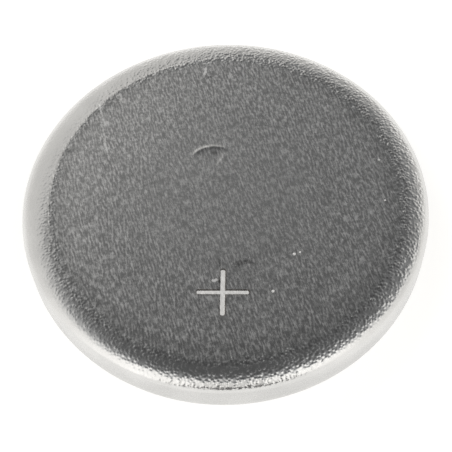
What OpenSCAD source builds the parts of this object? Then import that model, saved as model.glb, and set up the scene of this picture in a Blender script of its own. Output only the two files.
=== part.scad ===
// Lithium coin cell, lying on its negative terminal with the positive face up.
// Every piece is a body of revolution about Z. The negative terminal's face is z = 0.

/* [Cell] */
// Diameter over the can
cell_d = 12.5; // [11:0.1:20]
// Height from terminal to terminal
cell_h = 2.5; // [2.3:0.1:4]

/* [Positive can] */
// Thickness of the can's steel sheet
can_t = 0.25; // [0.2:0.01:0.28]
// Width of the oval bend between the face and the wall
bend_w = 0.8; // [0.5:0.05:1]
// Height of the oval bend
bend_h = 0.45; // [0.35:0.01:0.6]
// Outside radius of the curled rim
curl_r = 1; // [0.85:0.05:1.2]
// Straight end of the curl, past its turn
lip_l = 0.05; // [0.02:0.01:0.15]
// Height of the curled rim above the negative terminal's face
rim_lift = 0.4; // [0.3:0.01:0.5]
// Diameter of the weld dimple in the face
weld_d = 1.1; // [0.4:0.05:1.2]
// Depth of the weld dimple
weld_depth = 0.03; // [0.01:0.01:0.06]
// Distance of the weld dimple from the axis
weld_offset = 1.3; // [0:0.05:3]
// Direction of the weld dimple, counted from +X
weld_angle = 105; // [0:1:360]

/* [Gasket] */
// Thickness of the gasket between the can and the cap
gasket_t = 0.2; // [0.15:0.01:0.22]
// Thickness of the groove's floor, between the cap's edge and the can's face
seat_t = 0.3; // [0.2:0.01:0.4]
// Height of the lip inside the cap's skirt
inner_lip_h = 0.4; // [0.2:0.05:0.5]
// Height that the gasket's end stays short of the curled rim
bead_recess = 0.05; // [0:0.01:0.15]
// Film of sealant between the gasket and the metal
film_t = 0.01; // [0.005:0.001:0.02]

/* [Negative cap] */
// Thickness of the cap's steel sheet
cap_t = 0.2; // [0.15:0.01:0.25]
// Outside radius of the bend round the terminal's face
terminal_bend_r = 0.35; // [0.3:0.01:0.4]
// Inside radius of the bend between the riser and the flange
flange_bend_r = 0.1; // [0.05:0.01:0.12]
// Open groove between the terminal and the gasket's end
groove_w = 0.14; // [0.12:0.01:0.3]

/* [Electrodes] */
// Thickness of the lithium disc
anode_t = 0.5; // [0.3:0.05:0.7]
// Thickness of the separator
separator_t = 0.2; // [0.1:0.01:0.3]
// Gap between the separator's edge and the cap's riser
separator_gap = 0.1; // [0.05:0.01:0.3]
// Width by which the separator stands past both electrodes
separator_margin = 0.25; // [0.1:0.05:0.5]
// Bevel round the cathode pellet's edges
pellet_bevel = 0.1; // [0.05:0.01:0.15]
// Diameter of the cathode's collector
collector_d = 7; // [5:0.5:8]
// Thickness of the cathode's collector
collector_t = 0.08; // [0.05:0.01:0.1]

/* [Hidden] */
$fn = 144;

cell_r = cell_d / 2;
// Centre of the bend round the face, as [radius, height]
bend = [cell_r - bend_w, cell_h - bend_h];
// Centre that the curl, the gasket inside it and the cap's bend share
curl = [cell_r - curl_r, rim_lift + curl_r];
lip_r = curl.x - lip_l;
weld_sphere_r = (pow(weld_d / 2, 2) + pow(weld_depth, 2)) / (2 * weld_depth);

gasket_gap = can_t + film_t;
cap_gap = gasket_gap + gasket_t + film_t;
skirt_r = cell_r - cap_gap;
skirt_top = cell_h - gasket_gap - seat_t - film_t;
flange_z = rim_lift + cap_gap;
bead_r = lip_r - film_t;
terminal_r = bead_r - gasket_t - groove_w;

separator_r = terminal_r - cap_t - separator_gap;
electrode_r = separator_r - separator_margin;
separator_z = cap_t + anode_t;
pellet_z = separator_z + separator_t;
collector_z = cell_h - can_t - collector_t;

// A straight run of a section, between two radii and two heights
module run(r0, r1, z0, z1) {
    translate([r0, z0]) square([r1 - r0, z1 - z0]);
}

// A quarter turn of sheet about a centre. side gives its quadrant, such as [1, -1] for out and down.
module quarter(centre, r_out, t, side) {
    translate(centre)
        intersection() {
            difference() {
                circle(r = r_out);
                circle(r = r_out - t);
            }
            translate([min(side.x, 0), min(side.y, 0)] * r_out) square(r_out);
        }
}

// Section of all that lies inside the can's outer surface, moved in by gap, down to the curl's centre
module inside_can(gap) {
    bend_size = [bend_w - gap, bend_h - gap];
    run(0, bend.x, curl.y, cell_h - gap);
    run(0, cell_r - gap, curl.y, bend.y);
    translate(bend)
        intersection() {
            scale(bend_size) circle(r = 1);
            square(bend_size);
        }
}

// One drawn sheet: face, bend, wall, and the rim curled in over the gasket
module positive_can() {
    color("silver")
        difference() {
            rotate_extrude() {
                difference() {
                    inside_can(0);
                    inside_can(can_t);
                }
                quarter(curl, curl_r, can_t, [1, -1]);
                run(lip_r, curl.x, rim_lift, rim_lift + can_t);
            }
            rotate(weld_angle)
                translate([weld_offset, 0, cell_h - weld_depth + weld_sphere_r])
                    sphere(r = weld_sphere_r);
        }
}

// Moulded ring: groove for the skirt, wall, turn inside the curl, and the bead that shows underneath
module gasket() {
    groove_in = skirt_r - cap_t - film_t;
    groove_out = skirt_r + film_t;
    groove_top = skirt_top + film_t;
    color("dimgray")
        rotate_extrude() {
            difference() {
                intersection() {
                    inside_can(gasket_gap);
                    union() {
                        run(groove_in - gasket_t, cell_r, groove_top - inner_lip_h, cell_h);
                        run(groove_out, cell_r, curl.y, cell_h);
                    }
                }
                run(groove_in, groove_out, 0, groove_top);
            }
            quarter(curl, curl_r - gasket_gap, gasket_t, [1, -1]);
            run(bead_r - gasket_t, curl.x, rim_lift + gasket_gap, flange_z - film_t);
            run(bead_r - gasket_t, bead_r, rim_lift + bead_recess, flange_z - film_t);
        }
}

// One drawn sheet: terminal, riser, flange, and the skirt that stands in the gasket's groove
module negative_cap() {
    terminal_bend = [terminal_r - terminal_bend_r, terminal_bend_r];
    flange_bend = [terminal_r + flange_bend_r, flange_z - flange_bend_r];
    color("silver")
        rotate_extrude() {
            run(0, terminal_bend.x, 0, cap_t);
            quarter(terminal_bend, terminal_bend_r, cap_t, [1, -1]);
            run(terminal_r - cap_t, terminal_r, terminal_bend.y, flange_bend.y);
            quarter(flange_bend, flange_bend_r + cap_t, cap_t, [-1, 1]);
            run(flange_bend.x, curl.x, flange_z, flange_z + cap_t);
            quarter(curl, curl_r - cap_gap, cap_t, [1, -1]);
            run(skirt_r - cap_t, skirt_r, curl.y, skirt_top);
        }
}

// Lithium disc, pressed on the inside of the terminal
module lithium_anode() {
    color("lightsteelblue")
        translate([0, 0, cap_t]) cylinder(r = electrode_r, h = anode_t);
}

// Non-woven disc that stands past both electrodes
module separator() {
    color("white")
        translate([0, 0, separator_z]) cylinder(r = separator_r, h = separator_t);
}

// Pressed tablet that fills the height between the separator and the collector
module cathode_pellet() {
    pellet_h = collector_z - pellet_z;
    color([0.16, 0.16, 0.17])
        translate([0, 0, pellet_z])
            rotate_extrude()
                polygon([
                    [0, 0],
                    [electrode_r - pellet_bevel, 0],
                    [electrode_r, pellet_bevel],
                    [electrode_r, pellet_h - pellet_bevel],
                    [electrode_r - pellet_bevel, pellet_h],
                    [0, pellet_h]
                ]);
}

// Thin disc against the can's face, held by the weld
module cathode_collector() {
    color("gray")
        translate([0, 0, collector_z]) cylinder(d = collector_d, h = collector_t);
}

positive_can();
gasket();
negative_cap();
lithium_anode();
separator();
cathode_pellet();
cathode_collector();
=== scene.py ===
import math
import bpy
import numpy as np
from mathutils import Matrix, Vector
from mathutils.geometry import delaunay_2d_cdt


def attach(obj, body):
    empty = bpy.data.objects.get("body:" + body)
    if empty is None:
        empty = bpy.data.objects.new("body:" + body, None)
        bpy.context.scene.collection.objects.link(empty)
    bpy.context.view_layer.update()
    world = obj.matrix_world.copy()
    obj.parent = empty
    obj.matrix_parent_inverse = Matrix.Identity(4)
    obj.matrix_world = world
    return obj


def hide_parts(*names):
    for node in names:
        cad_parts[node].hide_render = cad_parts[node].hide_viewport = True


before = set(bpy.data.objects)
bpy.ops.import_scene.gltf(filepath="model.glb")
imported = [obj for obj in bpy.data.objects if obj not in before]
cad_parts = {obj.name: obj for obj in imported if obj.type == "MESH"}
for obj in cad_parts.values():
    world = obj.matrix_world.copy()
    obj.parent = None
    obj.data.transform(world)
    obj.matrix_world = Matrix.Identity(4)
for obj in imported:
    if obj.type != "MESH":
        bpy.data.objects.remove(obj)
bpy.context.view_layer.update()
mm = 0.001  # lengths below are in millimetres; angles are in degrees, and sides are counted from +X
print("frame loaded:", ", ".join(sorted(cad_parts)))


def metres(lengths):
    return [length * mm for length in lengths]


# fitted to the outline of the cell: in front of it, about 60 degrees up
camera = {
    "distance": 36.16, "elevation": 59.948, "roll": -2.855,
    "aim": (0.001, -0.310, 1.25),
    "lens": 88.73, "clip": (1, 10000),
}


def placeCamera(values):
    # the eye is distance times (0, -cos, sin) of the elevation; roll turns the picture about the sight line
    tilt, roll = math.radians(values["elevation"]), math.radians(values["roll"])
    eye = Vector((0, -math.cos(tilt), math.sin(tilt))) * values["distance"]
    back = (eye - Vector(values["aim"])).normalized()
    right = Vector((0, 0, 1)).cross(back).normalized()
    up = back.cross(right)
    axes = Matrix((
        math.cos(roll) * right + math.sin(roll) * up,
        math.cos(roll) * up - math.sin(roll) * right,
        back,
    )).transposed()
    data = bpy.data.cameras.new("camera")
    data.lens = values["lens"]
    data.clip_start, data.clip_end = metres(values["clip"])
    cameraObject = bpy.data.objects.new("camera", data)
    bpy.context.collection.objects.link(cameraObject)
    cameraObject.matrix_world = Matrix.Translation(eye * mm) @ axes.to_4x4()
    bpy.context.scene.camera = cameraObject


placeCamera(camera)
bpy.context.scene.view_settings.view_transform = "Standard"


def addNode(tree, kind, inputs=None, **settings):
    # a new node; an input is either a plain value or the socket that feeds it
    node = tree.nodes.new("ShaderNode" + kind)
    for name, value in settings.items():
        setattr(node, name, value)
    for name, value in (inputs or {}).items():
        if isinstance(value, bpy.types.NodeSocket):
            tree.links.new(value, node.inputs[name])
        else:
            node.inputs[name].default_value = value
    return node


def calc(tree, operation, *values, clamp=False):
    # result of one Math node
    inputs = {index: value for index, value in enumerate(values)}
    return addNode(tree, "Math", inputs, operation=operation, use_clamp=clamp).outputs[0]


def ramp(tree, value, low, high, fromValue=0.0, toValue=1.0):
    # value carried smoothly from fromValue at low to toValue at high
    return addNode(tree, "MapRange", {
        "Value": value, "From Min": low, "From Max": high, "To Min": fromValue, "To Max": toValue,
    }, interpolation_type="SMOOTHSTEP").outputs["Result"]


def blend(tree, factor, a, b, kind="FLOAT", **settings):
    # a where the factor is 0, b where it is 1
    node = addNode(tree, "Mix", {"Factor": factor, "A": a, "B": b}, data_type=kind, **settings)
    return node.outputs["Result"]


def scaled(tree, vector, factor):
    return addNode(tree, "VectorMath", {0: vector, "Scale": factor}, operation="SCALE").outputs[0]


def axisReach(tree, x, y):
    # distance from the axis: the root of x squared plus y squared
    return calc(tree, "SQRT", calc(tree, "ADD", calc(tree, "MULTIPLY", x, x), calc(tree, "MULTIPLY", y, y)))


def around(tree, value, amount):
    # value of 0 to 1 turned into a factor around 1: 1 + (value - 0.5) times amount
    return calc(tree, "MULTIPLY_ADD", value, amount, 1 - amount / 2)


def shaded(tree, shade, mask, change):
    # shade times 1 + mask times change
    return calc(tree, "MULTIPLY", shade, calc(tree, "MULTIPLY_ADD", mask, change, 1.0))


def newMaterial(name):
    material = bpy.data.materials.new(name)
    material.use_nodes = True
    tree = material.node_tree
    tree.nodes.clear()
    return material, tree


def addSurface(tree, inputs):
    # the material's Principled shader and its output
    shader = addNode(tree, "BsdfPrincipled", inputs)
    addNode(tree, "OutputMaterial", {"Surface": shader.outputs[0]})


def newGroup(name, inputs, outputs):
    # inputs are {name: default}, where a tuple makes a vector socket
    group = bpy.data.node_groups.new(name, "ShaderNodeTree")
    for label, default in inputs.items():
        kind = "NodeSocketVector" if isinstance(default, tuple) else "NodeSocketFloat"
        group.interface.new_socket(label, in_out="INPUT", socket_type=kind).default_value = default
    for label in outputs:
        group.interface.new_socket(label, in_out="OUTPUT", socket_type="NodeSocketFloat")
    return group, group.nodes.new("NodeGroupInput").outputs, group.nodes.new("NodeGroupOutput").inputs


def useGroup(tree, group, vector, **values):
    node = addNode(tree, "Group")
    node.node_tree = group
    tree.links.new(vector, node.inputs["Vector"])
    for name, value in values.items():
        node.inputs[name].default_value = value
    return node.outputs


tent = {
    # azimuth of the wall, height of its top edge, brightness low down and at its top, blur of the edge
    "walls": [
        (0, 35, 1.14, 0.97, 14), (20, 35, 1.16, 0.75, 14), (35, 40, 1.16, 0.52, 14),
        (60, 34, 1.00, 0.53, 16), (80, 38, 0.98, 0.56, 13), (90, 42, 0.94, 0.61, 11),
        (97, 46, 0.94, 0.68, 9), (104, 53.6, 0.95, 0.76, 7), (115, 57, 0.97, 0.80, 7),
        (140, 56, 1.06, 0.81, 8), (168, 52, 1.02, 0.90, 14), (195, 46, 1.16, 1.17, 15),
        (217, 48, 1.58, 1.46, 11), (241, 51, 1.62, 1.44, 11), (270, 52, 0.76, 0.80, 11),
        (298, 49, 1.12, 1.62, 11), (320, 45, 1.14, 1.38, 11), (345, 40, 1.04, 1.00, 13),
        (360, 35, 1.14, 0.97, 14),
    ],
    "wallRise": (-5, 30),  # heights between which the low brightness turns into the top one
    "wallColor": (1, 0.985, 0.96), "ceilingColor": (0.98, 0.99, 1),
    "ceiling": (0.225, 0.31), "ceilingDepth": 0.3,  # just above the walls, from behind to in front
    "ceilingTop": 0.105, "ceilingRise": (50, 80),  # overhead, and the heights between which it takes over
    "dip": 0.12, "dipAngles": (34, 12), "dipHeight": -3,  # darker spot low in front, where the camera stands
}


def buildTent(values):
    # a ramp over the azimuth holds each wall's edge, two brightnesses and blur as one colour of 0 to 1; the
    # light is the wall blended into the ceiling by (height - edge) / blur, times the dip round its axis
    world = bpy.data.worlds.new("lightTent")
    bpy.context.scene.world = world
    world.use_nodes = True
    tree = world.node_tree
    tree.nodes.clear()
    rightAngle, brightest = 90, 2.0
    direction = addNode(tree, "TexCoord").outputs["Generated"]
    x, y, z = addNode(tree, "SeparateXYZ", {0: direction}).outputs
    turns = calc(tree, "DIVIDE", calc(tree, "ARCTAN2", y, x), math.tau)
    height = calc(tree, "DIVIDE", calc(tree, "ARCSINE", z), math.pi / 2)
    walls = addNode(tree, "ValToRGB", {0: calc(tree, "FRACT", calc(tree, "ADD", turns, 1.0))})
    stops = walls.color_ramp.elements
    while len(stops) < len(values["walls"]):
        stops.new(0.5)
    for stop, (azimuth, top, low, high, blur) in zip(stops, values["walls"]):
        stop.position = azimuth / 360
        stop.color = (top / rightAngle, low / brightest, high / brightest, blur / rightAngle)
    top, dim, bright = addNode(tree, "SeparateColor", {0: walls.outputs["Color"]}).outputs
    rise, ceilingRise = [
        ramp(tree, height, low / rightAngle, high / rightAngle)
        for low, high in (values["wallRise"], values["ceilingRise"])]
    wall = calc(tree, "MULTIPLY", blend(tree, rise, dim, bright), brightest)
    depth = values["ceilingDepth"]
    ceiling = blend(tree, ceilingRise, ramp(tree, y, depth, -depth, *values["ceiling"]), values["ceilingTop"])
    above = calc(tree, "DIVIDE", calc(tree, "SUBTRACT", height, top), walls.outputs["Alpha"])
    overhead = ramp(tree, above, -1.0, 1.0)
    level = blend(tree, overhead, wall, ceiling)
    tint = blend(tree, overhead, values["wallColor"], values["ceilingColor"], kind="VECTOR")
    tilt = math.radians(values["dipHeight"])
    dipAxis = (0, -math.cos(tilt), math.sin(tilt))
    facing = addNode(tree, "VectorMath", {0: direction, 1: dipAxis}, operation="DOT_PRODUCT").outputs["Value"]
    outer, inner = [math.cos(math.radians(angle)) for angle in values["dipAngles"]]
    light = calc(tree, "MULTIPLY", level, ramp(tree, facing, outer, inner, 1.0, values["dip"]))
    background = addNode(tree, "Background", {"Color": tint, "Strength": light})
    addNode(tree, "OutputWorld", {"Surface": background.outputs[0]})


buildTent(tent)

floor = {
    "half": 1000, "color": (0.5, 0.5, 0.498, 1), "roughness": 0.9,
    # its own glow grows between these distances from the cell's axis; the dimmer glow near the cell is a
    # painted contact shadow
    "glow": (0.74, 0.86), "paintedShadowReach": (6.6, 8.5), "glowColor": (1, 0.99, 0.97, 1),
}


def buildFloor(values):
    half = values["half"] * mm
    corners = [(-half, -half, 0), (half, -half, 0), (half, half, 0), (-half, half, 0)]
    mesh = bpy.data.meshes.new("floor")
    mesh.from_pydata(corners, [], [(0, 1, 2, 3)])
    floorObject = bpy.data.objects.new("floor", mesh)
    bpy.context.collection.objects.link(floorObject)
    material, tree = newMaterial("paleFloor")
    place = addNode(tree, "TexCoord").outputs["Object"]
    reach = addNode(tree, "VectorMath", {0: place}, operation="LENGTH").outputs["Value"]
    addSurface(tree, {
        "Base Color": values["color"], "Roughness": values["roughness"], "Specular IOR Level": 0.0,
        "Emission Color": values["glowColor"],
        # painted contact shadow: the floor glows less near the cell
        "Emission Strength": ramp(tree, reach, *metres(values["paintedShadowReach"]), *values["glow"]),
    })
    mesh.materials.append(material)


buildFloor(floor)
print("camera, tent and floor ready")


def smooth(value, low, high):
    # 0 up to low, 1 from high on, and 3 t squared - 2 t cubed between, with t the way from low to high
    part = np.clip((value - low) / (high - low), 0, 1)
    return part * part * (3 - 2 * part)


primes, stir = (73856093, 19349663, 83492791, 15485863), 1274126177  # they scatter the lattice numbers


def valueNoise(points, size, seed):
    # the corners of a cubic lattice of this cell size have random heights; a point's value is the sum of its
    # eight corners' heights, each times the product of its smoothed nearness in x, y and z, spread to -1 to 1
    place = points / size + 4096  # keeps the lattice numbers above 0
    cell = np.floor(place).astype(np.int64)
    part = place - cell
    part = part * part * (3 - 2 * part)
    total = np.zeros(points.shape[:-1])
    for corner in np.ndindex(2, 2, 2):
        x, y, z = np.moveaxis((cell + np.array(corner)) * primes[:3], -1, 0)
        mixed = x ^ y ^ z ^ (seed * primes[3])
        mixed = ((mixed ^ (mixed >> 13)) * stir) & 0x7FFFFFFF
        height = ((mixed ^ (mixed >> 15)) & 0xFFFF) / 65535
        total += height * np.prod(np.where(corner, part, 1 - part), axis=-1)
    return 2 * total - 1


def twoNoises(points, sizes, seeds, share=0.6):
    # share times a coarse noise + (1 - share) times a fine one
    coarse, fine = [valueNoise(points, size, seed) for size, seed in zip(sizes, seeds)]
    return share * coarse + (1 - share) * fine


def line(start, end, steps):
    # start + t times (end - start), for even steps of t up to 1; without its first point
    part = np.linspace(0, 1, steps + 1)[1:, None]
    return np.array(start) * (1 - part) + np.array(end) * part


def arc(centre, size, start, end, steps):
    # centre + size times (cos, sin) of the angle from start to end, in even steps of length; without its
    # first point
    fine = np.radians(np.linspace(start, end, 400))  # enough points to measure the length along it
    path = np.array(centre) + np.stack([size[0] * np.cos(fine), size[1] * np.sin(fine)], 1)
    length = np.concatenate([[0], np.cumsum(np.hypot(*np.diff(path, axis=0).T))])
    wanted = np.linspace(0, length[-1], steps + 1)[1:]
    return np.stack([np.interp(wanted, length, path[:, 0]), np.interp(wanted, length, path[:, 1])], 1)


def bentPath(corners, stepLength=0.07):
    # section through right-angled corners; each is r, z and the size of its bend, one radius or (in r, in z).
    # A bend is corner - before times (1 - sin t) + after times (1 - cos t), with t from 0 to a right angle,
    # where before and after are the bend's size along the run that comes and the run that goes
    points = np.array([corner[:2] for corner in corners], dtype=float)
    path = [points[:1]]
    for index in range(1, len(corners) - 1):
        bend = corners[index][2]
        size = np.array(bend if isinstance(bend, tuple) else (bend, bend), dtype=float)
        before = np.sign(np.round(points[index] - points[index - 1], 9)) * size
        after = np.sign(np.round(points[index + 1] - points[index], 9)) * size
        steps = max(3, int(1.6 * size.max() / stepLength))  # a quarter turn is about 1.6 radii long
        angle = np.linspace(0, math.pi / 2, steps + 1)[:, None]
        path.append(points[index] - before * (1 - np.sin(angle)) + after * (1 - np.cos(angle)))
    path.append(points[-1:])
    return np.concatenate(path)


def spin(section, columns):
    # rows of rings: (r cos a, r sin a, z) for each (r, z) of the section and each angle a round the axis
    angle = np.arange(columns) * math.tau / columns
    radius, height = section[:, :1], section[:, 1:]
    return np.stack([radius * np.cos(angle), radius * np.sin(angle), height + 0 * angle], -1)


class Shape:
    # points and faces that grow ring by ring, with two marks at each point for the material
    def __init__(self):
        self.points, self.faces, self.marks, self.count = [], [], [], 0

    def addRing(self, points, peel=0.0, etch=0.0):
        ring = np.arange(len(points)) + self.count
        self.points.append(points)
        self.marks.append(np.stack([np.broadcast_to(mark, len(points)) for mark in (peel, etch)], 1))
        self.count += len(points)
        return ring

    def bridge(self, first, second):
        # band of faces between two rings; the second may have a whole fraction of the first one's points
        share = len(first) // len(second)
        after = np.roll(first.reshape(-1, share), -1, 0)[:, :1]
        inner = first.reshape(-1, share)[:, ::-1]
        outer = np.stack([second, np.roll(second, -1)], 1)
        self.faces += np.concatenate([outer, after, inner], 1).tolist()

    def bridgeAll(self, rings):
        for first, second in zip(rings, rings[1:]):
            self.bridge(first, second)

    def close(self, ring):
        self.faces.append(ring.tolist())

    def build(self, name, material):
        mesh = bpy.data.meshes.new(name)
        mesh.from_pydata(np.concatenate(self.points) * mm, [], self.faces)
        mesh.polygons.foreach_set("use_smooth", np.ones(len(mesh.polygons), dtype=bool))
        for label, mark in zip(("peel", "etch"), np.concatenate(self.marks).T):
            if mark.any():
                attribute = mesh.attributes.new(label, "FLOAT", "POINT")
                attribute.data.foreach_set("value", mark.astype(np.float32))
        mesh.materials.append(material)
        mesh.update()
        made = bpy.data.objects.new(name, mesh)
        bpy.context.collection.objects.link(made)
        return made


grain = {
    "width": 0.052, "length": 0.24, "turn": -13,  # of the streaks, and how far they are turned from Y
    "mottle": 0.075, "cloud": 1.2,  # size of the small grains and of the large clouds
    "streakShare": 0.65, "detail": 1.5, "cloudDetail": 3.0,
    "toneRange": (0.36, 0.76), "cloudRange": (0.3, 0.7),  # mostly dull, with a few bright grains
    "middleTone": 0.33,  # a grain of this tone has the plain colour
}


def buildGrainGroup(values):
    # rolled sheet: noise of x / width, y / length and z / width makes streaks, mixed with small grains
    group, given, result = newGroup("rolledGrain", {
        "Vector": (0.0, 0.0, 0.0), "Width": values["width"], "Length": values["length"],
        "Mottle": values["mottle"], "Cloud": values["cloud"],
    }, ["Height", "Tone", "Clouds"])
    turn = (0, 0, math.radians(values["turn"]))
    rolled = addNode(group, "Mapping", {"Vector": given["Vector"], "Rotation": turn}).outputs[0]
    x, y, z = addNode(group, "SeparateXYZ", {0: rolled}).outputs
    width, length, mottle, cloud = [
        calc(group, "MULTIPLY", given[name], mm) for name in ("Width", "Length", "Mottle", "Cloud")]
    across, along, up = [
        calc(group, "DIVIDE", part, size) for part, size in ((x, width), (y, length), (z, width))]
    streakPlace = addNode(group, "CombineXYZ", {0: across, 1: along, 2: up}).outputs[0]
    spotPlace, cloudPlace = [
        scaled(group, rolled, calc(group, "DIVIDE", 1.0, size)) for size in (mottle, cloud)]
    detail, cloudDetail = values["detail"], values["cloudDetail"]
    streaks, spots, clouds = [
        addNode(group, "TexNoise", {"Vector": at, "Scale": 1.0, "Detail": level, "Roughness": 0.5}).outputs[0]
        for at, level in ((streakPlace, detail), (spotPlace, detail), (cloudPlace, cloudDetail))]
    share = values["streakShare"]
    spotPart = calc(group, "MULTIPLY", spots, 1 - share)
    both = calc(group, "ADD", calc(group, "MULTIPLY", streaks, share), spotPart)
    group.links.new(both, result["Height"])
    group.links.new(ramp(group, both, *values["toneRange"]), result["Tone"])
    group.links.new(ramp(group, clouds, *values["cloudRange"]), result["Clouds"])
    return group


smudge = {
    "fraySize": 0.06, "fray": 4.0, "ragged": 0.5,
    "edge": (1.3, 0.5),  # the mask is 0 and 1 at these parts of its size
}


def buildSmudgeGroup(values):
    # soft-edged oval with a ragged outline: its distance from the centre, in parts of its size, plus a noise
    group, given, result = newGroup("smudge", {
        "Vector": (0.0, 0.0, 0.0), "Centre": (0.0, 0.0, 0.0), "Size": (1.0, 1.0, 1.0),
        "Turn": (0.0, 0.0, 0.0), "Ragged": values["ragged"],
    }, ["Mask"])
    near = addNode(group, "Mapping", {
        "Vector": given["Vector"], "Location": given["Centre"], "Rotation": given["Turn"],
        "Scale": given["Size"],
    }, vector_type="TEXTURE").outputs[0]
    x, y, z = addNode(group, "SeparateXYZ", {0: near}).outputs
    noise = addNode(group, "TexNoise", {
        "Vector": given["Vector"], "Scale": 1 / (values["fraySize"] * mm), "Detail": 2.0}).outputs[0]
    ragged = calc(group, "MULTIPLY", given["Ragged"], values["fray"])
    frays = calc(group, "MULTIPLY", calc(group, "SUBTRACT", noise, 0.5), ragged)
    reach = calc(group, "ADD", axisReach(group, x, y), frays)
    group.links.new(ramp(group, reach, *values["edge"]), result["Mask"])
    return group


grainGroup = buildGrainGroup(grain)
smudgeGroup = buildSmudgeGroup(smudge)

canSteel = {
    "color": (0.665, 0.663, 0.655),
    "faceRoughness": (0.24, 0.34), "rimRoughness": 0.18,
    "grainHeight": 0.0010,
    "grainContrast": (0.66, 0.98), "contrastReach": (1.5, 4.2),  # in the middle of the face and away from it
    "grainRise": (2.480, 2.496),  # the grain fades where the sheet is stretched round the bend
    "cloudContrast": 0.08,
    # dimpled skin of the bend: height and size of its cells, which are longer in height, and their soft rims
    "peelHeight": 0.0082, "peelSize": 0.090, "peelStretch": 0.7, "peelRim": 0.75, "peelSoftness": 0.6,
    # painted shade: the face is darker near its edge, apart from at its back
    "edgePaintedShade": 0.85, "edgeReach": (4.7, 5.15), "edgeBack": (5.1, 4.0),
    # painted shade: the wall is darker below these heights, all round, and in front right up to the ledge,
    # for the darker floor near the cell that it reflects
    "wallPaintedShade": 0.92, "wallRise": (1.60, 2.14), "frontRise": (2.04, 2.14), "frontReach": (5.6, 6.1),
    "etchColor": (0.97, 0.965, 0.955), "etchRoughness": 0.5, "etchMetal": 0.0, "etchContrast": 0.3,
    "fringe": (0.42, 0.37, 0.33),  # burnt tint beside the etched sign
    # x, y, half width and half length, turn, how much lighter (or darker) the metal is
    "smudges": [
        (0.36, -2.34, 0.22, 0.10, 25, -0.45), (0.62, -2.31, 0.14, 0.06, -20, -0.40),
        (-0.24, -2.26, 0.035, 0.16, 0, -0.45), (-0.39, -2.87, 0.11, 0.05, 15, 0.8),
        (-0.27, -2.91, 0.04, 0.06, 0, -0.5), (-3.741, 3.117, 0.10, 0.30, 25, 0.35),
        (-3.2, 3.962, 0.08, 0.22, 20, 0.35), (-3.842, 3.52, 0.04, 0.25, 15, 0.6),
        (-3.665, 2.14, 0.04, 0.30, 12, 0.5), (-0.42, 4.87, 0.05, 0.16, -15, 0.8),
        (-0.30, 4.62, 0.16, 0.05, 0, -0.4), (-0.27, 1.62, 0.10, 0.08, 0, -0.45),
    ],
    "smudgeRub": 0.35,  # roughness that the lighter ones add
}


def canRelief(tree, values, place, height, peel):
    # bump of the grain, which fades as the dimples come in, and of the dimples: 1 in the middle of a Voronoi
    # cell, 0 at its rim
    fine = 1 / (values["peelSize"] * mm)
    cells = (fine, fine, fine * values["peelStretch"])
    cellPlace = addNode(tree, "VectorMath", {0: place, 1: cells}, operation="MULTIPLY").outputs[0]
    cell = addNode(tree, "TexVoronoi", {
        "Vector": cellPlace, "Scale": 1.0, "Smoothness": values["peelSoftness"]}, feature="SMOOTH_F1")
    dimples = ramp(tree, cell.outputs["Distance"], values["peelRim"], 0.0)
    flat = calc(tree, "SUBTRACT", 1.0, peel, clamp=True)
    grainBump = addNode(tree, "Bump", {
        "Height": height, "Distance": values["grainHeight"] * mm, "Strength": flat})
    return addNode(tree, "Bump", {
        "Height": calc(tree, "MULTIPLY", dimples, peel), "Distance": values["peelHeight"] * mm,
        "Strength": 1.0, "Normal": grainBump.outputs[0],
    }).outputs[0]


def canShade(tree, values, place, tone, clouds, etch):
    # factor on the colour: 1 + (tone - middle tone) times contrast, times clouds, and the painted shade at
    # the edge of the face and on the wall
    x, y, z = addNode(tree, "SeparateXYZ", {0: place}).outputs
    reach = axisReach(tree, x, y)
    onFace = ramp(tree, z, *metres(values["grainRise"]))
    contrast = ramp(tree, reach, *metres(values["contrastReach"]), *values["grainContrast"])
    contrast = calc(tree, "MULTIPLY", contrast, onFace)
    contrast = calc(tree, "MULTIPLY", contrast, blend(tree, etch, 1.0, values["etchContrast"]))
    shade = calc(tree, "MULTIPLY_ADD", calc(tree, "SUBTRACT", tone, grain["middleTone"]), contrast, 1.0)
    shade = calc(tree, "MULTIPLY", shade, around(tree, clouds, values["cloudContrast"]))
    # painted shade: the face is darker near its edge, apart from at its back
    edge = ramp(tree, reach, *metres(values["edgeReach"]))
    edge = calc(tree, "MULTIPLY", edge, ramp(tree, y, *metres(values["edgeBack"])))
    shade = shaded(tree, shade, calc(tree, "MULTIPLY", edge, onFace), values["edgePaintedShade"] - 1)
    # painted shade on the wall: darker low down all round, and right up to the ledge in front
    wall, frontWallPaintedShade = [
        ramp(tree, z, *metres(values[name]), values["wallPaintedShade"], 1.0) for name in ("wallRise", "frontRise")]
    inFront = ramp(tree, calc(tree, "MULTIPLY", y, -1.0), *metres(values["frontReach"]))
    return calc(tree, "MULTIPLY", shade, blend(tree, inFront, wall, frontWallPaintedShade))


def addSmudges(tree, values, place, shade):
    # each smudge changes the shade by its mask, and the lighter ones add roughness
    rubbed = 0.0
    for x, y, width, length, turn, change in values["smudges"]:
        mask = useGroup(
            tree, smudgeGroup, place, Centre=(x * mm, y * mm, 0), Size=(width * mm, length * mm, 1),
            Turn=(0, 0, math.radians(turn)))["Mask"]
        shade = shaded(tree, shade, mask, change)
        if change > 0:
            rubbed = calc(tree, "MULTIPLY_ADD", mask, change * values["smudgeRub"], rubbed)
    return shade, rubbed


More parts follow.
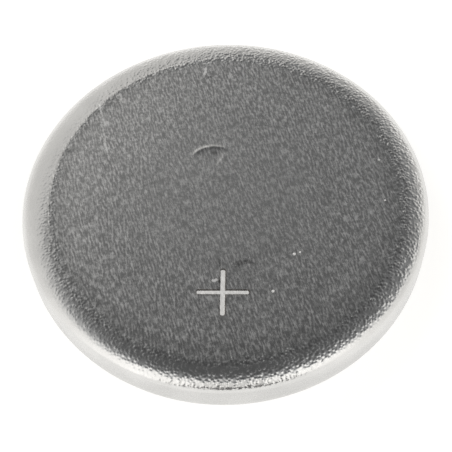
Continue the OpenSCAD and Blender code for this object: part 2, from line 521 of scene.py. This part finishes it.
def buildCanSteel(values):
    material, tree = newMaterial("canSteel")
    place = addNode(tree, "TexCoord").outputs["Object"]
    height, tone, clouds = useGroup(tree, grainGroup, place)
    peel = addNode(tree, "Attribute", attribute_name="peel").outputs["Fac"]
    mark = addNode(tree, "Attribute", attribute_name="etch").outputs["Fac"]
    etch = calc(tree, "MAXIMUM", mark, 0.0)
    burn = calc(tree, "MAXIMUM", calc(tree, "MULTIPLY", mark, -1.0), 0.0)  # where the mark is below 0
    normal = canRelief(tree, values, place, height, peel)
    rough = blend(tree, tone, *values["faceRoughness"])
    rough = blend(tree, calc(tree, "MINIMUM", peel, 1.0), rough, values["rimRoughness"])
    rough = blend(tree, etch, rough, values["etchRoughness"])
    shade, rubbed = addSmudges(tree, values, place, canShade(tree, values, place, tone, clouds, etch))
    metal = scaled(tree, values["color"], shade)
    burnt = blend(tree, burn, metal, (*values["fringe"], 1), kind="RGBA", blend_type="MULTIPLY")
    etched = scaled(tree, values["etchColor"], shade)
    addSurface(tree, {
        "Base Color": blend(tree, etch, burnt, etched, kind="RGBA"),
        "Metallic": blend(tree, etch, 1.0, values["etchMetal"]),
        "Roughness": calc(tree, "ADD", rough, rubbed), "Normal": normal,
    })
    return material


canMaterial = buildCanSteel(canSteel)
print("metal ready")

can = {
    "radius": 6.25, "height": 2.5, "sheet": 0.25,
    "bend": (0.8, 0.45),  # width and height of the oval bend between face and wall
    "curlRadius": 1.0, "rimLift": 0.4,  # the rim curled in underneath, and its height above the table
    "lip": 0.05, "nip": 0.02,  # straight end of the curl, and the rounding of its edges
    "columns": (1200, 600, 200),  # of the skin, of the wall with the curl, and of the inside
    "flatFrom": 5.1,  # the face is plain inside this radius, and the skin's rows start here
    "approach": 0.16, "wallStart": 0.12,  # fine rows of the skin before the bend, and below it on the wall
    "rows": (4, 8, 42, 2, 2),  # of the skin: face, approach, bend, bend below the ledge, wall
    "middle": 1.0,  # radius of the one flat face that closes the inside
    "crease": {  # sharp start of the bend, left by the punch, which stood a little off centre
        "drop": (0.003, 0.036), "width": 0.12,  # least and most
        "side": 140, "spread": (0.4, 0.98), "shift": 0.11,  # sharpest on this side, and further in there
        "wander": 0.018, "sizes": (0.12, 0.05), "seeds": (7, 8),
    },
    "ledge": {  # top edge of the ironed wall, where the wall is worn back
        "height": 2.10, "step": 0.022, "depth": 0.008, "side": 285, "spread": (0.78, 0.97),
        "wave": 0.022, "waveWidth": 0.05, "sizes": (0.9, 0.2), "seeds": (5, 6),
    },
    "peel": {  # dimpled skin of the stretched bend
        "height": 0.004, "sink": 0.6, "sizes": (0.11, 0.11 / 1.7), "seeds": (1, 2),
        "strength": (0.48, 1.6), "side": 20, "spread": (-0.8, 0.7),  # least and most, on this side
        "start": (5.12, 5.50), "ragged": 0.16, "raggedSeed": 3,  # radii where it comes in, in a ragged line
        "guard": 0.12, "end": (2.24, 2.42),  # it keeps off the plain face and ends at these heights
        "later": 0.12, "laterSpread": (0.2, 0.8),  # it comes in further out where the wall is worn
        # in front it is stronger and reaches further down
        "frontSide": 265, "frontSpread": (0.8, 0.97), "frontStrength": 0.35, "frontDrop": 0.13,
    },
    "sign": {
        "centre": (-0.195, -3.278), "turn": -3.3, "depth": 0.008,
        "across": (0.757, 0.098), "upright": (0.736, 0.122),  # half length and stroke of each bar
        "fillet": 0.012, "tip": 0.7, "least": 0.004,  # inner corners, part of the round ends, least radius
        "burn": 0.95, "burnSide": (0.5, 0.87), "burnLeast": 0.4,  # tint beside it, strongest on this side
        "burnSpread": (0, 0.8),  # from side on to facing that side
        "steps": 9,  # points of each rounding
        # inset from the outline, parts of the depth, of the etching and of the burnt tint
        "section": [
            (-0.062, 0, 0, 0), (-0.046, 0, 0, 0.7), (-0.030, 0, 0, 1), (-0.012, 0.1, 0, 1),
            (-0.005, 0.4, 0.2, 0), (0.001, 0.75, 0.9, 0), (0.008, 0.95, 1, 0), (0.018, 1, 1, 0),
        ],
    },
    "weld": {
        "centre": (-0.285, 1.01), "radius": 0.85, "columns": 144,
        "lip": 0.016, "lipWidth": 0.065, "side": 97, "spread": (0.70, 0.93),  # its edge stands up here
        "depth": 0.012, "dish": 0.95, "curve": 0.7,
        "rings": (1.22, 1.16, 1.11, 1.075, 1.04, 1.015, 0.985, 0.96, 0.925, 0.88, 0.80, 0.66, 0.45, 0.2),
    },
    "dents": {  # small and bright; x, y, radius and depth
        "places": [
            (1.970, -2.130, 0.042, 0.020), (2.150, -2.073, 0.030, 0.015), (1.268, -3.322, 0.042, 0.020),
            (4.836, 1.064, 0.032, 0.016), (4.865, -0.418, 0.028, 0.012),
        ],
        "columns": 16,
        # parts of the radius, of the depth and of the etching
        "section": [(1.5, 0, 0), (1.15, 0, 0), (0.95, 0.15, 1), (0.7, 0.6, 1), (0.4, 0.92, 1), (0.15, 1, 1)],
    },
}


def turned(points, degrees):
    # (x cos a - y sin a, x sin a + y cos a)
    turn = math.radians(degrees)
    x, y = points.T
    return np.stack([x * math.cos(turn) - y * math.sin(turn), x * math.sin(turn) + y * math.cos(turn)], 1)


def circleOutline(centre, radius, columns):
    # centre + radius times (cos, sin)
    angle = np.arange(columns) * math.tau / columns
    return np.stack([centre[0] + radius * np.cos(angle), centre[1] + radius * np.sin(angle)], 1)


def signOutline(values, inset):
    # outline of the cross, moved in by inset, counterclockwise: four times a round end, tip + size times
    # (cos, sin), and the small fillet to the next bar, turned a quarter further each time
    (across, acrossStroke), (upright, uprightStroke) = values["across"], values["upright"]
    bars = [(across, acrossStroke / 2), (upright, uprightStroke / 2)]
    least = values["least"]
    bow = max(values["fillet"] + inset, least)
    steps = np.linspace(0, 1, values["steps"])
    points = []
    for quarter in range(4):
        (reach, own), (_, other) = bars if quarter % 2 == 0 else bars[::-1]
        tip = own * values["tip"]
        angle = (steps - 0.5) * math.pi
        end = np.stack([
            reach - tip + max(tip - inset, least) * np.cos(angle), (own - inset) * np.sin(angle)], 1)
        angle = (1.5 - steps / 2) * math.pi
        fillet = np.stack([
            other - inset + bow + bow * np.cos(angle), own - inset + bow + bow * np.sin(angle)], 1)
        points.append(turned(np.concatenate([end, fillet]), quarter * 90))
    return turned(np.concatenate(points), values["turn"]) + np.array(values["centre"])


def addRecess(shape, top, loops):
    # rings at top - drop; loops are (outline, drop, etch) from the outside in, and the first lies on the face
    # as a guard
    rings = []
    for outline, drop, etch in loops:
        height = np.broadcast_to(top - drop, len(outline))
        rings.append(shape.addRing(np.concatenate([outline, height[:, None]], 1), etch=etch))
    for outer, inner in zip(rings, rings[1:]):
        shape.bridge(inner, outer)
    shape.close(rings[-1])
    return rings[0], loops[0][0]


def addSign(shape, top, values):
    # the burnt tint is least + (1 - least) times how far the outline faces the burnt side
    outline = signOutline(values, 0)
    along = np.roll(outline, -1, 0) - np.roll(outline, 1, 0)
    side = values["burnSide"]
    facing = (along[:, 1] * side[0] - along[:, 0] * side[1]) / np.linalg.norm(along, axis=1)
    least = values["burnLeast"]
    burn = -values["burn"] * (least + (1 - least) * smooth(facing, *values["burnSpread"]))
    return addRecess(shape, top, [
        (signOutline(values, inset), values["depth"] * drop, etch + burnt * burn)
        for inset, drop, etch, burnt in values["section"]])


def addWeld(shape, top, values):
    # height at part p of the radius: lip times exp(-((p - 1) / lipWidth) squared) less depth times
    # (1 - (p / dish) squared) to the power of curve, on the side where the edge stands up
    centre, radius, columns = values["centre"], values["radius"], values["columns"]
    across = np.array(values["rings"])
    angle = np.arange(columns) * math.tau / columns
    standing = smooth(np.cos(angle - math.radians(values["side"])), *values["spread"])
    lip = values["lip"] * np.exp(-((across - 1.0) / values["lipWidth"]) ** 2)
    dish = values["depth"] * np.clip(1 - (across / values["dish"]) ** 2, 0, None) ** values["curve"]
    dish[0] = lip[0] = 0  # the guard lies on the face
    return addRecess(shape, top, [
        (circleOutline(centre, radius * part, columns), (low - high) * standing, 0)
        for part, low, high in zip(across, dish, lip)])


def insideLoop(points, loop):
    # even-odd test: a point is inside where a ray along +X crosses the outline an odd number of times
    x, y = points[:, :1], points[:, 1:]
    ax, ay = loop.T
    bx, by = np.roll(loop, -1, 0).T
    rise = np.where(by == ay, 1e-12, by - ay)  # a level edge is never crossed
    crosses = ((ay > y) != (by > y)) & (x < (bx - ax) * (y - ay) / rise + ax)
    return crosses.sum(1) % 2 == 1


def fillFace(shape, outerRing, outerLoop, holes):
    # flat triangles between the outer ring and the recesses; those inside a recess are dropped
    loops = [outerLoop] + [loop for ring, loop in holes]
    rings = [outerRing] + [ring for ring, loop in holes]
    flat = np.concatenate(loops)
    names = np.concatenate(rings)
    edges, start = [], 0
    for loop in loops:
        ids = np.arange(len(loop)) + start
        edges += np.stack([ids, np.roll(ids, -1)], 1).tolist()
        start += len(loop)
    tolerance = 1e-9
    made = delaunay_2d_cdt([Vector(point) for point in flat.tolist()], edges, [], 0, tolerance)
    back = np.array([sources[0] for sources in made[3]])
    triangles = np.array(made[2])
    middles = flat[back[triangles]].mean(1)
    keep = np.ones(len(triangles), dtype=bool)
    for loop in loops[1:]:
        keep &= ~insideLoop(middles, loop)
    shape.faces += names[back[triangles[keep]]].tolist()


def skinSection(values):
    # section of the outside that shows its skin, above and below the ledge: the edge of the face, the oval
    # bend centre + size times (cos, sin), and the top of the wall
    radius, top, (width, height) = values["radius"], values["height"], values["bend"]
    start, fineFrom = values["flatFrom"], radius - width - values["approach"]
    faceRows, fineRows, bendRows, lowRows, wallRows = values["rows"]
    centre = (radius - width, top - height)
    ledge, step = values["ledge"]["height"], values["ledge"]["step"]
    atLedge, belowLedge = [
        math.degrees(math.asin((z - centre[1]) / height)) for z in (ledge, ledge - step)]
    above = np.concatenate([
        [(start, top)],
        line((start, top), (fineFrom, top), faceRows),
        line((fineFrom, top), (centre[0], top), fineRows),
        arc(centre, (width, height), 90, atLedge, bendRows),
    ])
    below = np.concatenate([
        arc(centre, (width, height), belowLedge, 0, lowRows),
        line((radius, centre[1]), (radius, centre[1] - values["wallStart"]), wallRows),
    ])
    return above, below


def dressedSkin(values):
    # rings of the skin and the strength of its dimples; each effect is a shift of the plain rings
    crease, ledge, dimples = values["crease"], values["ledge"], values["peel"]
    radius, (width, height) = values["radius"], values["bend"]
    bendRadius, bendFoot = radius - width, values["height"] - height
    above, below = skinSection(values)
    skin = np.concatenate([above, below])
    across, up = skin[:, :1], skin[:, 1:]
    step = np.gradient(skin, axis=0)
    outward = np.stack([-step[:, 1], step[:, 0]], 1)
    outward = outward / np.linalg.norm(outward, axis=1, keepdims=True)
    grid, away = [spin(section, values["columns"][0]) for section in (skin, outward)]  # away are the normals
    circle = grid[-1:] * np.array([1, 1, 0])
    turn = np.arctan2(circle[..., 1], circle[..., 0])

    def facing(side):
        return np.cos(turn - math.radians(side))

    # ledge: the radius shrinks by depth times how worn the side is times the way across the bend squared
    worn = smooth(facing(ledge["side"]), *ledge["spread"])
    reach = np.clip((skin[:, 0] - bendRadius) / width, 0, 1) ** 2 * (np.arange(len(skin)) < len(above))
    grid[..., :2] *= (1 - ledge["depth"] * worn * reach[:, None] / radius)[..., None]

    # crease: past its start, a wandering circle, z falls by drop times (1 - exp(-(r - start) / width))
    start = bendRadius - crease["shift"] * ((1 + facing(crease["side"])) / 2) ** 2
    start = start + crease["wander"] * twoNoises(circle, crease["sizes"], crease["seeds"])
    low, high = crease["drop"]
    sharpness = low + (high - low) * smooth(facing(crease["side"]), *crease["spread"])
    drop = sharpness * (1 - np.exp(-np.clip(across - start, 0, None) / crease["width"]))

    # peel: its strength grows across the bend, and noise times the strength moves points along the normals
    onBend = across + dimples["ragged"] * valueNoise(grid, dimples["ragged"], dimples["raggedSeed"])
    onBend = onBend - (start - bendRadius)
    onBend = onBend - dimples["later"] * smooth(facing(ledge["side"]), *dimples["laterSpread"])
    inFront = smooth(facing(dimples["frontSide"]), *dimples["frontSpread"])
    rough = smooth(facing(dimples["side"]), *dimples["spread"])
    least, most = dimples["strength"]
    strength = least * (1 - rough) + most * rough + dimples["frontStrength"] * inFront
    plain = values["flatFrom"]
    between = smooth(across, plain, plain + dimples["guard"])
    between = between * smooth(up + dimples["frontDrop"] * inFront, *dimples["end"])
    peel = smooth(onBend, *dimples["start"]) * strength * between
    bumps = twoNoises(grid, dimples["sizes"], dimples["seeds"])
    grid = grid + away * (dimples["height"] * peel * (bumps - dimples["sink"]))[..., None]

    # the drop past the crease is taken up evenly down to the top of the wall
    full = sharpness / (height + sharpness)
    inBend = np.clip((up - bendFoot) / height, 0, 1)
    grid[..., 2] += (full * height * (1 - inBend) - drop * (1 - full)) * (inBend > 0)
    wave = ledge["wave"] * worn * twoNoises(circle, ledge["sizes"], ledge["seeds"])
    grid[..., 2] += wave * np.exp(-((up - ledge["height"]) / ledge["waveWidth"]) ** 2)
    return grid, peel


def buildCan(values):
    # skin, wall, curl and inside are rings round the axis; the face lies between skin and recesses
    radius, top, sheet = values["radius"], values["height"], values["sheet"]
    (width, height), curl, lift, nip = values["bend"], values["curlRadius"], values["rimLift"], values["nip"]
    lipRadius = radius - curl - values["lip"]
    shape = Shape()
    grid, peel = dressedSkin(values)
    rings = [shape.addRing(row, mark) for row, mark in zip(grid, peel)]
    outside = bentPath([
        (radius, top - height - values["wallStart"]), (radius, lift, curl), (lipRadius, lift, nip),
        (lipRadius, lift + sheet / 2)])
    inside = bentPath([
        (lipRadius, lift + sheet / 2), (lipRadius, lift + sheet, nip),
        (radius - sheet, lift + sheet, curl - sheet),
        (radius - sheet, top - sheet, (width - sheet, height - sheet)), (values["middle"], top - sheet)])
    for section, columns in zip((outside, inside), values["columns"][1:]):
        rings += [shape.addRing(row) for row in spin(section[1:], columns)]
    shape.bridgeAll(rings)
    shape.close(rings[-1][::-1])
    holes = [addSign(shape, top, values["sign"]), addWeld(shape, top, values["weld"])]
    dents = values["dents"]
    for x, y, size, depth in dents["places"]:
        holes.append(addRecess(shape, top, [
            (circleOutline((x, y), size * part, dents["columns"]), depth * down, etch)
            for part, down, etch in dents["section"]]))
    fillFace(shape, rings[0], grid[0][:, :2], holes)
    made = shape.build("canShell", canMaterial)
    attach(made, "root")
    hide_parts("positive_can")
    print("can:", len(made.data.vertices), "points")


buildCan(can)

matterClouds = {"size": 15, "share": 0.3}  # in small grains, and as a part of the contrast


def buildMatter(values):
    # material of one piece: the grain gives its tone, roughness and relief
    material, tree = newMaterial(values["name"])
    place = addNode(tree, "TexCoord").outputs["Object"]
    width, length, mottle = values["grain"]
    cloud = mottle * matterClouds["size"]
    height, tone, clouds = useGroup(
        tree, grainGroup, place, Width=width, Length=length, Mottle=mottle, Cloud=cloud)
    if "crossed" in values:
        turn = (0, 0, math.radians(values["crossed"]))
        across = addNode(tree, "Mapping", {"Vector": place, "Rotation": turn}).outputs[0]
        second = useGroup(tree, grainGroup, across, Width=width, Length=length, Mottle=mottle)
        height, tone = [calc(tree, "MAXIMUM", one, other) for one, other in zip((height, tone), second)]
    contrast = values["contrast"]
    shade = calc(tree, "MULTIPLY_ADD", calc(tree, "SUBTRACT", tone, grain["middleTone"]), contrast, 1.0)
    shade = calc(tree, "MULTIPLY", shade, around(tree, clouds, contrast * matterClouds["share"]))
    bump = addNode(tree, "Bump", {"Height": height, "Distance": values["relief"] * mm, "Strength": 1.0})
    addSurface(tree, {
        "Base Color": scaled(tree, values["color"], shade), "Metallic": values["metal"],
        "Roughness": blend(tree, tone, *values["roughness"]), "Normal": bump.outputs[0],
    })
    return material


def buildTurned(name, section, columns, material, isLoop):
    # body of revolution; a section that isn't a loop starts and ends beside the axis
    shape = Shape()
    rings = [shape.addRing(row) for row in spin(section, columns)]
    shape.bridgeAll(rings + rings[:1] if isLoop else rings)
    if not isLoop:
        shape.close(rings[0])
        shape.close(rings[-1][::-1])
    return shape.build(name, material)


gasket = {
    "wall": (5.79, 5.99), "top": 2.24, "bend": (0.54, 0.19),  # radii of the wall, and the bend at its top
    "arm": (0.66, 0.86), "turn": (0.54, 0.74),  # heights of the arm under the cap's flange, and its turn
    "bead": (4.99, 5.19), "foot": 0.45,  # the ring that shows underneath
    "groove": (5.57, 1.94), "lip": (5.37, 1.54),  # inner radius and top of the groove; inner lip and its foot
    "nip": 0.03, "corner": 0.01,
    "seam": (1.9, 1.8), "columns": 300,  # heights in the inner lip where the section starts and ends
    "matter": {
        "name": "mouldedPlastic", "color": (0.055, 0.055, 0.06), "metal": 0.0, "roughness": (0.38, 0.50),
        "grain": (0.08, 0.08, 0.05), "contrast": 0.25, "relief": 0.0015,
    },
}


def buildGasket(values):
    # turned section, a loop: inner lip, wall, turn inside the curl, bead, arm under the flange, and groove
    (grooveOut, wall), (beadIn, beadOut), (low, high) = values["wall"], values["bead"], values["arm"]
    (grooveIn, grooveTop), (lipIn, lipFoot), (inner, outer) = values["groove"], values["lip"], values["turn"]
    seamTop, seamFoot = values["seam"]
    foot, nip, corner = values["foot"], values["nip"], values["corner"]
    section = bentPath([
        (lipIn, seamTop), (lipIn, values["top"], nip), (wall, values["top"], values["bend"]),
        (wall, low, outer), (beadOut, low, corner), (beadOut, foot, nip * 2), (beadIn, foot, nip * 2),
        (beadIn, high, nip), (grooveOut, high, inner), (grooveOut, grooveTop, corner),
        (grooveIn, grooveTop, corner), (grooveIn, lipFoot, nip), (lipIn, lipFoot, nip), (lipIn, seamFoot)])
    made = buildTurned("sealRing", section, values["columns"], buildMatter(values["matter"]), True)
    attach(made, "root")
    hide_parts("gasket")


cap = {
    "sheet": 0.2, "terminal": 4.85, "terminalBend": 0.35,  # radius of the terminal and of its bend
    "flange": 0.87, "flangeBend": 0.1,  # height of the flange's underside, and its bend
    "skirt": 5.78, "skirtTop": 1.93, "turn": 0.53, "nip": 0.03,
    "middle": 0.4, "columns": 300,  # radius of the flat face that closes each side
    "matter": {
        "name": "capSteel", "color": (0.67, 0.665, 0.65), "metal": 1.0, "roughness": (0.24, 0.34),
        "grain": (0.05, 0.35, 0.07), "contrast": 0.4, "relief": 0.0010,
    },
}


def buildCap(values):
    # turned section: the sheet's inside from the middle out to the skirt, and its outside back
    terminal, sheet, flange, skirt, nip, middle, skirtTop, turn = [values[name] for name in (
        "terminal", "sheet", "flange", "skirt", "nip", "middle", "skirtTop", "turn")]
    terminalBend, flangeBend = values["terminalBend"], values["flangeBend"]
    section = bentPath([
        (middle, sheet), (terminal - sheet, sheet, terminalBend - sheet),
        (terminal - sheet, flange + sheet, flangeBend + sheet), (skirt - sheet, flange + sheet, turn - sheet),
        (skirt - sheet, skirtTop, nip), (skirt, skirtTop, nip), (skirt, flange, turn),
        (terminal, flange, flangeBend), (terminal, 0, terminalBend), (middle, 0)])
    made = buildTurned("terminalCap", section, values["columns"], buildMatter(values["matter"]), False)
    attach(made, "root")
    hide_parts("negative_cap")


buildGasket(gasket)
buildCap(cap)
print("gasket and cap ready")

# the pieces inside keep their CAD shapes
insides = {
    "lithium_anode": {
        "name": "lithiumFoil", "color": (0.60, 0.61, 0.63), "metal": 1.0, "roughness": (0.45, 0.60),
        "grain": (0.06, 1.2, 0.10), "contrast": 0.4, "relief": 0.002,
    },
    "separator": {
        "name": "pressedFibre", "color": (0.80, 0.80, 0.78), "metal": 0.0, "roughness": (0.85, 0.95),
        "grain": (0.025, 0.8, 0.04), "contrast": 0.25, "relief": 0.010,
        "crossed": 75,  # angle of a second layer of fibres
    },
    "cathode_pellet": {
        "name": "pressedPowder", "color": (0.035, 0.035, 0.038), "metal": 0.0, "roughness": (0.75, 0.95),
        "grain": (0.04, 0.04, 0.03), "contrast": 0.7, "relief": 0.006,
    },
    "cathode_collector": {
        "name": "collectorSteel", "color": (0.56, 0.56, 0.555), "metal": 1.0, "roughness": (0.28, 0.40),
        "grain": (0.05, 0.9, 0.06), "contrast": 0.5, "relief": 0.0015,
    },
}

for node, matter in insides.items():
    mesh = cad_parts[node].data
    mesh.materials.clear()
    mesh.materials.append(buildMatter(matter))
print("inner pieces dressed")
